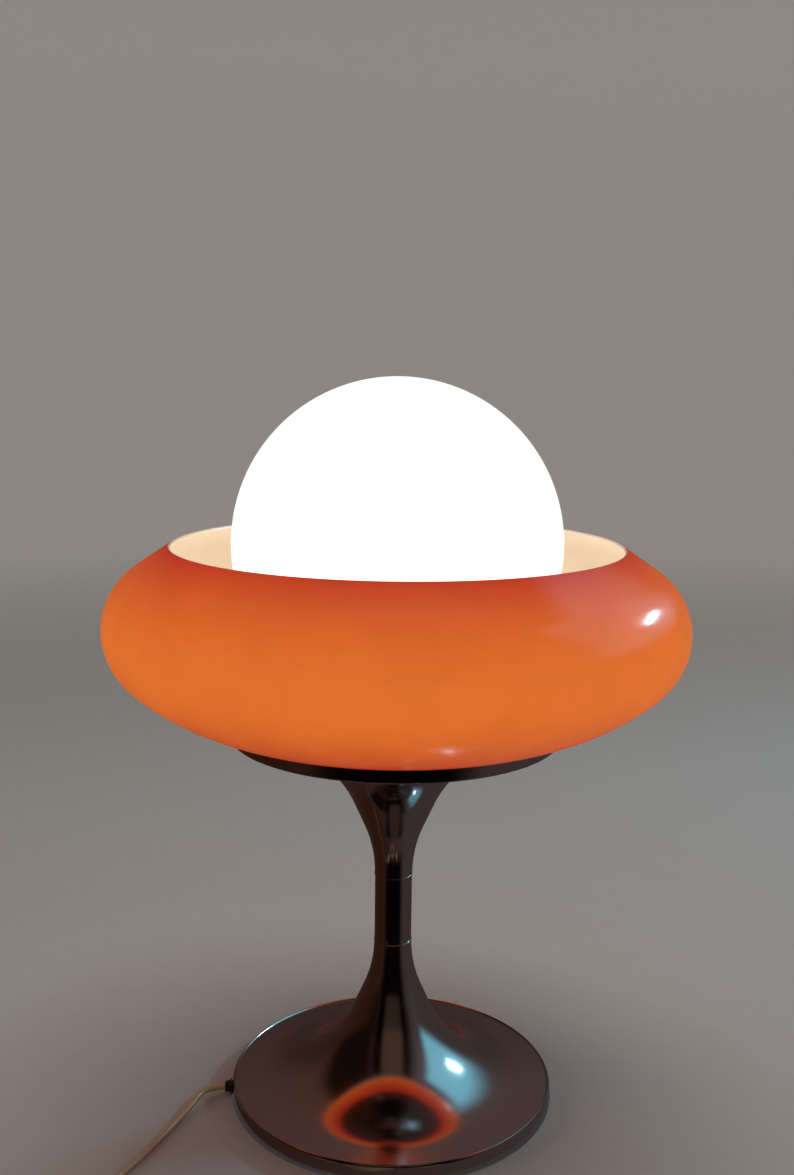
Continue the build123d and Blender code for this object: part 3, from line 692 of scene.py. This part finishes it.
@dataclass
class SupplyCord:
    """The free cord: from the bushing to the switch, then by way of a coil to the plug."""

    diameter: float = 5.2 * MM
    lead_length: float = 0.246
    supply_length: float = 1.5
    bushing_turn: float = math.radians(186.0)
    bushing_height: float = 6.4 * MM
    lead: list[Point] = field(
        default_factory=lambda: [
            (-0.13297, -0.01398, 0.0064),
            (-0.14033, -0.01475, 0.0064),
            (-0.14690, -0.01810, 0.0064),
            (-0.15170, -0.02380, 0.0060),
            (-0.15500, -0.03330, 0.0049),
            (-0.16000, -0.04630, 0.0036),
            (-0.16650, -0.06150, 0.0028),
            (-0.17380, -0.08030, 0.0026),
            (-0.18350, -0.10300, 0.0026),
            (-0.19600, -0.12800, 0.0026),
            (-0.20450, -0.15000, 0.0026),
            (-0.20500, -0.17200, 0.0026),
            (-0.19300, -0.19000, 0.0026),
            (-0.17650, -0.19800, 0.0046),
            (-0.16200, -0.19900, 0.0070),
            (-0.15000, -0.19900, 0.0070),
        ]
    )
    link: list[Point] = field(
        default_factory=lambda: [
            (-0.0920, -0.1990, 0.0070),
            (-0.0820, -0.1990, 0.0070),
            (-0.0700, -0.2014, 0.0048),
            (-0.0580, -0.2072, 0.0026),
            (-0.0490, -0.2125, 0.0026),
        ]
    )
    tail: list[Point] = field(
        default_factory=lambda: [
            (-0.0190, -0.2136, 0.0126),
            (-0.0080, -0.2132, 0.0116),
            (0.0030, -0.2106, 0.0097),
            (0.0125, -0.2064, 0.0078),
            (0.0215, -0.2040, 0.00685),
            (0.0300, -0.2040, 0.00685),
        ]
    )
    coil_middle: tuple[float, float] = (-0.030, -0.185)
    coil_radius: float = 28.0 * MM
    coil_start: float = 241.6
    coil_end: float = 270.0
    coil_turns: int = 8
    points_a_turn: int = 16

    def coil(self) -> list[Point]:
        """The coil's points: three turns inwards, three back on top of them, then two more on top.

        Returns:
            The points, from where the link meets the coil to where the tail leaves it.
        """
        rows = (1, 0, -1, -1, 0, 1, 1, 0, 0)
        layers = (0, 0, 0, 1, 1, 1, 2, 2, 2)
        half_step = 180.0 / self.points_a_turn
        first = self.coil_start + half_step
        last = self.coil_end + 360.0 * self.coil_turns - half_step
        count = round((last - first) / (2 * half_step))
        points = []
        for index in range(count + 1):
            angle = first + (last - first) * index / count
            turn, share = divmod((angle - self.coil_start) / 360.0, 1.0)
            here = int(turn)
            move = self.eased(share, 0.84, 1.0)
            climb = self.eased(share, 0.70, 0.86)
            after = min(here + 1, len(rows) - 1)
            row = rows[here] + (rows[after] - rows[here]) * move
            layer = layers[here] + (layers[after] - layers[here]) * climb
            radius = (self.coil_radius + row * self.diameter) / math.cos(math.radians(half_step))
            height = self.diameter * (layer + 0.5)
            x, y = self.coil_middle
            turned_to = math.radians(angle)
            points.append((x + radius * math.cos(turned_to), y + radius * math.sin(turned_to), height))
        return points

    @staticmethod
    def eased(share: float, low: float, high: float) -> float:
        """0 below low, 1 above high and smooth in between."""
        t = min(1.0, max(0.0, (share - low) / (high - low)))
        return t * t * (3 - 2 * t)

    def run(self, name: str, points: list[Point]) -> bpy.types.Object:
        """One smooth cord through its control points."""
        data = bpy.data.curves.new(name, "CURVE")
        data.dimensions = "3D"
        spline = data.splines.new("NURBS")
        spline.points.add(len(points) - 1)
        for control, place in zip(spline.points, points):
            control.co = (*place, 1.0)
        spline.order_u = 3
        spline.use_endpoint_u = True
        spline.resolution_u = 8
        data.bevel_depth = self.diameter / 2
        data.bevel_resolution = 4
        data.use_fill_caps = True
        piece = bpy.data.objects.new(name, data)
        bpy.context.scene.collection.objects.link(piece)
        return piece

    def bushing(self, finish: bpy.types.Material) -> bpy.types.Object:
        """The snap-in bushing: a flange against the band and a ribbed, tapered nose."""
        bore = self.diameter / 2 + 0.05 * MM
        outline = [(bore, 111.0 * MM), (4.2 * MM, 111.0 * MM), (4.2 * MM, 128.5 * MM), (5.9 * MM, 128.6 * MM)]
        outline += [(6.1 * MM, 129.0 * MM), (5.9 * MM, 129.6 * MM), (5.0 * MM, 129.8 * MM)]
        for groove in range(3):
            start = 129.9 * MM + groove * 1.2 * MM
            outline += [(4.95 * MM - groove * 0.15 * MM, start + 0.2 * MM)]
            outline += [(4.90 * MM - groove * 0.15 * MM, start + 0.7 * MM)]
            outline += [(4.45 * MM - groove * 0.15 * MM, start + 0.85 * MM)]
            outline += [(4.45 * MM - groove * 0.15 * MM, start + 1.1 * MM)]
        outline += [(4.3 * MM, 133.6 * MM), (3.9 * MM, 133.9 * MM), (bore, 133.9 * MM)]
        piece = turned("cord_bushing_ribbed", outline, 64)
        stand_at(piece, (0, 0, self.bushing_height), Axis.CORD_EXIT, self.bushing_turn)
        place_on_lamp(piece, finish)
        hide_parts("cord_bushing")
        return piece

    def sleeve(self, name: str, place: Point, axis: Axis, finish: bpy.types.Material) -> bpy.types.Object:
        """A short ribbed sleeve that guides the cord out of the switch."""
        bore = self.diameter / 2 + 0.03 * MM
        outline = [(bore, -1.5 * MM), (4.8 * MM, -1.5 * MM), (4.8 * MM, 0.8 * MM)]
        for rib in range(3):
            start = 1.0 * MM + rib * 2.0 * MM
            width = 4.3 * MM - rib * 0.35 * MM
            outline += [(width - 0.4 * MM, start), (width, start + 0.3 * MM)]
            outline += [(width, start + 1.2 * MM), (width - 0.4 * MM, start + 1.5 * MM)]
        outline += [(bore, 6.7 * MM)]
        piece = turned(name, outline, 48)
        stand_at(piece, place, axis)
        place_on_lamp(piece, finish)
        return piece

    def make(self, sheath: bpy.types.Material, dark: bpy.types.Material, ivory: bpy.types.Material) -> None:
        """Makes the cord and the pieces that it passes through."""
        bushing = self.bushing(dark)
        into = self.sleeve("switch_sleeve_in", (-0.150, -0.199, 0.007), Axis.AGAINST_X, ivory)
        out = self.sleeve("switch_sleeve_out", (-0.092, -0.199, 0.007), Axis.ALONG_X, ivory)
        rings = self.plug_rings(ivory)
        lead = self.run("cord_to_switch", self.lead)
        place_on_lamp(lead, sheath)
        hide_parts("cord_lead")
        supply = self.run("cord_to_plug", [*self.link, *self.coil(), *self.tail])
        place_on_lamp(supply, sheath)
        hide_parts("cord_link", "cord_coil", "cord_tail")

    def plug_rings(self, finish: bpy.types.Material) -> bpy.types.Object:
        """The raised rings on the plug's tapered sleeve, as one piece."""
        rings = []
        for index in range(5):
            start = 1.6 * MM + index * 2.6 * MM
            inside = 3.45 * MM + start * 0.125
            outline = [(inside, start), (inside + 0.75 * MM, start + 0.3 * MM)]
            outline += [(inside + 0.85 * MM, start + 1.1 * MM), (inside + 0.1 * MM, start + 1.4 * MM)]
            rings.append(turned(f"plug_ring_{index}", outline, 48))
        activate(rings[0])
        for ring in rings[1:]:
            ring.select_set(True)
        bpy.ops.object.join()
        piece = bpy.context.active_object
        piece.name = "plug_sleeve_rings"
        stand_at(piece, (0.030, -0.204, 0.00685), Axis.ALONG_X)
        place_on_lamp(piece, finish)
        return piece


@dataclass
class BowlShade:
    """The bowl: an orange outer layer and a white inner one, joined at a rolled lip."""

    floor: float = 312.0 * MM
    flat_radius: float = 136.1 * MM
    hole_radius: float = 26.0 * MM
    wall: float = 3.0 * MM
    orange_layer: float = 1.0 * MM
    seam: float = 0.03 * MM
    lip_height: float = 0.9 * MM
    shoulder: float = 32.6 * MM
    arcs: tuple = ((10.0, 15.0), (160.9, 26.4), (51.0, 104.5))

    def line(self, offset: float) -> Outline:
        """The bowl's line from its hole to its rim, at a depth from the outer face."""
        steps = [("arc", radius * MM, turn) for radius, turn in self.arcs] + [("line", self.shoulder)]
        return [(self.hole_radius, self.floor + offset)] + arcs_from(
            (self.flat_radius, self.floor), 0.0, steps, offset
        )

    def layer(self, name: str, outside: float, inside: float, lip: float | None = None) -> bpy.types.Object:
        """One layer of the wall.

        Args:
            name: The piece's name.
            outside: How deep its outer face lies.
            inside: How deep its inner face lies.
            lip: How deep its rounded lip begins, where it has one; else it ends square.

        Returns:
            The piece.
        """
        outer, inner = self.line(outside), self.line(inside)
        back, along = Vector(inner[-1]), (Vector(inner[-1]) - Vector(inner[-2])).normalized()
        rounding = []
        if lip is not None:
            start = Vector(self.line(lip)[-1]) + along * self.seam
            rounding = [tuple(Vector(outer[-1]) + along * self.seam), tuple(start)]
            for index in range(1, 6):
                angle = math.pi * index / 6
                across = start.lerp(back, 0.5 - 0.5 * math.cos(angle))
                rounding.append(tuple(across + along * (self.lip_height * math.sin(angle))))
        return turned(name, outer + rounding + inner[::-1], 224)

    def make(self, orange: bpy.types.Material, white: bpy.types.Material) -> None:
        """Makes both layers; together they stand for the bowl."""
        outer = self.layer("shade_orange_layer", 0.0, self.orange_layer)
        inner = self.layer("shade_white_layer", self.orange_layer + self.seam, self.wall, lip=0.1 * MM)
        for piece, material in ((outer, orange), (inner, white)):
            place_on_lamp(piece, material)
            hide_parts("shade_bowl")


@dataclass
class TulipStand:
    """The two spun trumpets, the neck between them and the rings at its ends."""

    sheet: float = 1.2 * MM
    neck_radius: float = 14.8 * MM
    height: float = 128.0 * MM
    rim_radius: float = 128.5 * MM
    lift: float = 0.6 * MM
    middle: float = 156.0 * MM
    bead_depth: float = 0.7 * MM
    steps: tuple = (
        ("arc", 97.6 * MM, 24.1),
        ("line", 20.1 * MM),
        ("arc", 94.6 * MM, 60.1),
        ("line", 17.1 * MM),
    )

    def outline(self) -> Outline:
        """A trumpet's closed outline, from the neck down the outside and back inside."""
        start = (self.neck_radius, self.height)
        outer = arcs_from(start, -90.0, list(self.steps), 0.0)
        inner = arcs_from(start, -90.0, list(self.steps), -self.sheet)
        end_radius, end_height = outer[-1]
        crest = (self.rim_radius - 1.15 * MM, end_height + 0.25 * MM)
        bead = [
            (end_radius + 0.45 * MM, end_height + 0.65 * MM),
            (end_radius + 1.0 * MM, end_height + 0.92 * MM),
            (end_radius + 1.5 * MM, end_height + 0.75 * MM),
            (crest[0] + 0.1 * MM, end_height - 0.2 * MM),
            (crest[0] + 0.35 * MM, end_height - 1.2 * MM),
        ]
        foot = [(self.rim_radius - 0.25 * MM, self.lift + 3.0 * MM), (self.rim_radius, self.lift + 0.8 * MM)]
        foot += [(self.rim_radius - 0.2 * MM, self.lift), (self.rim_radius - self.sheet, self.lift)]
        inner = [point for point in inner if point[0] < self.rim_radius - 2.2 * MM]
        inside = [(self.rim_radius - 2.1 * MM, 10.9 * MM)] + inner[::-1]
        return outer + bead + foot + inside

    def trumpet(self, name: str, node: str, flipped: bool, finish: bpy.types.Material) -> None:
        """One trumpet; the upper one is the lower one turned over."""
        outline = self.outline()
        if flipped:
            outline = [(radius, 2 * self.middle - height) for radius, height in outline]
        piece = turned(name, outline, 224)
        place_on_lamp(piece, finish)
        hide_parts(node)

    def neck(self, finish: bpy.types.Material) -> None:
        """The neck, with eased ends."""
        low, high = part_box("neck_collar")[0].z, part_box("neck_collar")[1].z
        radius, inside, ease = 14.6 * MM, 13.6 * MM, 0.35 * MM
        outline = [(inside, low), (radius - ease, low), (radius, low + ease), (radius, high - ease)]
        outline += [(radius - ease, high), (inside, high)]
        piece = turned("neck_tube", outline, 160)
        place_on_lamp(piece, finish)
        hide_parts("neck_collar")

    def make(
        self,
        spun: bpy.types.Material,
        upper: bpy.types.Material,
        polished: bpy.types.Material,
        bright: bpy.types.Material,
    ) -> None:
        """Makes the trumpets and the neck, and dresses the rings."""
        self.trumpet("base_trumpet", "base_shell", False, spun)
        self.trumpet("upper_trumpet_spun", "upper_trumpet", True, upper)
        self.neck(polished)
        # The rings wear the lightened chrome, whose colour carries a painted highlight.
        for node in ("joint_ring_lower", "joint_ring_upper"):
            dress(node, bright)


@dataclass
class Inside:
    """What the lamp holds inside, dressed as it comes from the frame."""

    wear: dict[str, tuple[str, ...]] = field(
        default_factory=lambda: {
            "zinc": ("bottom_plate", "rod_washer_lower", "rod_washer_upper", "gallery_washer"),
            "bright_zinc": ("stem_rod", "rod_nut_lower", "rod_nut_upper", "plate_screws", "switch_screws"),
            "iron": ("base_weight",),
            "sheet": ("support_plate",),
            "felt": ("foot_felt",),
            "sheath": ("inner_cord",),
            "silicone": ("bowl_gasket", "globe_cushion", "bowl_centring_bush"),
            "lacquer": ("globe_gallery",),
            "phenolic": ("lampholder_cap", "lampholder_body"),
            "porcelain": ("lampholder_insert", "bulb_stem"),
            "brass": ("lampholder_sleeve", "lampholder_contacts", "switch_contacts"),
            "copper": ("holder_wires", "bulb_filament"),
            "cap_metal": ("bulb_cap", "bulb_contact"),
            "black_glass": ("bulb_insulator",),
            "bulb": ("bulb_glass",),
            "globe": ("globe_glass",),
            "ivory": ("switch_base", "switch_cover", "plug_body"),
            "rocker": ("switch_rocker",),
            "pins": ("plug_pins",),
        }
    )

    def make(self, finishes: dict[str, bpy.types.Material]) -> None:
        """Dresses each inner node with its finish.

        Args:
            finishes: The materials by short name.
        """
        for finish, nodes in self.wear.items():
            for node in nodes:
                dress(node, finishes[finish])


def all_finishes() -> dict[str, bpy.types.Material]:
    """Builds every finish.

    Returns:
        The materials by short name.
    """
    opal, cream = (0.86, 0.85, 0.82), (0.12, 0.08, 0.045)
    finishes = {
        "spun": SpunMetal("satin_spun_chrome", (0.62, 0.57, 0.55), 0.13, 0.00002, 0.4),
        "upper_spun": SpunMetal("satin_spun_chrome_upper", (0.58, 0.54, 0.52), 0.11, 0.000015, 0.3),
        "polished": SpunMetal("polished_chrome", (0.54, 0.51, 0.49), 0.08, 0.00001, 0.2),
        # A lighter copy of the chrome for the joint rings, so they show as thin bright lines: real polished
        # rings with a painted highlight in their colour.
        "highlit_ring": SpunMetal("highlit_ring_chrome", (0.86, 0.84, 0.82), 0.30, 0.00001),
        "zinc": Zinc(),
        "bright_zinc": PlainMetal(
            "bright_zinc", (0.62, 0.62, 0.60), (0.50, 0.51, 0.50), 0.34, 240.0, 0.00003
        ),
        "iron": PlainMetal("cast_iron", (0.10, 0.095, 0.09), (0.05, 0.045, 0.042), 0.72, 130.0, 0.0006),
        "sheet": PlainMetal("sheet_steel", (0.42, 0.42, 0.42), (0.33, 0.32, 0.31), 0.40, 90.0, 0.00004),
        "brass": PlainMetal("brass", (0.72, 0.52, 0.22), (0.55, 0.38, 0.15), 0.30, 210.0, 0.00003),
        "copper": PlainMetal("copper_wire", (0.78, 0.38, 0.22), (0.58, 0.27, 0.15), 0.30, 260.0, 0.00002),
        "cap_metal": PlainMetal(
            "bulb_cap_metal", (0.66, 0.66, 0.65), (0.52, 0.52, 0.52), 0.28, 180.0, 0.00003
        ),
        "pins": PlainMetal("plug_pin_nickel", (0.68, 0.64, 0.56), (0.55, 0.51, 0.44), 0.22, 300.0, 0.00002),
        "felt": Felt(),
        "sheath": Moulded("ivory_cord_sheath", (0.66, 0.47, 0.29), (0.56, 0.39, 0.23), 0.42, 0.25, 900.0),
        "dark": Moulded("dark_brown_rubber", (0.030, 0.018, 0.013), (0.018, 0.011, 0.009), 0.45, 0.2),
        "silicone": Moulded("white_silicone", (0.72, 0.71, 0.68), (0.64, 0.63, 0.60), 0.55, 0.0),
        "lacquer": Moulded("white_lacquer", (0.80, 0.79, 0.76), (0.74, 0.73, 0.70), 0.35, 0.5),
        "phenolic": Moulded("black_phenolic", (0.022, 0.020, 0.019), (0.035, 0.030, 0.027), 0.35, 0.4),
        "porcelain": Moulded("porcelain", (0.80, 0.78, 0.74), (0.74, 0.72, 0.68), 0.25, 0.8),
        "black_glass": Moulded("black_glass", (0.010, 0.010, 0.014), (0.018, 0.018, 0.024), 0.12, 1.0),
        "ivory": Moulded("ivory_plastic", (0.72, 0.64, 0.50), (0.64, 0.56, 0.42), 0.38, 0.3),
        "rocker": Moulded("rocker_ivory", (0.80, 0.74, 0.62), (0.72, 0.66, 0.54), 0.30, 0.5),
        "orange": LitShade(),
        "white": LitWhite(
            "lit_white_acrylic", (0.72, 0.64, 0.53), (0.14, 0.10, 0.07), cream, 1.0, 0.32, 0.45, 0.25
        ),
        "globe": LitWhite(
            "lit_opal_glass", opal, (1.0, 0.97, 0.90), (1.0, 0.92, 0.80), 1.35, 0.33, 0.42, 0.12
        ),
        "bulb": LitWhite(
            "lit_bulb_glass", opal, (1.0, 0.86, 0.62), (0.7, 0.55, 0.35), 4.0, 0.36, 0.40, 0.2
        ),
    }
    return {short: finish.make() for short, finish in finishes.items()}


def main() -> None:
    """Builds the lamp round its frame."""
    logging.basicConfig(level=logging.INFO, format="%(message)s")
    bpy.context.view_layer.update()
    studio = Studio()
    studio.camera()
    finishes = all_finishes()
    SupplyCord().make(finishes["sheath"], finishes["dark"], finishes["ivory"])
    studio.floor()
    studio.surround()
    studio.lights()
    BowlShade().make(finishes["orange"], finishes["white"])
    TulipStand().make(*(finishes[short] for short in ("spun", "upper_spun", "polished", "highlit_ring")))
    Inside().make(finishes)


if __name__ == "__main__":
    main()
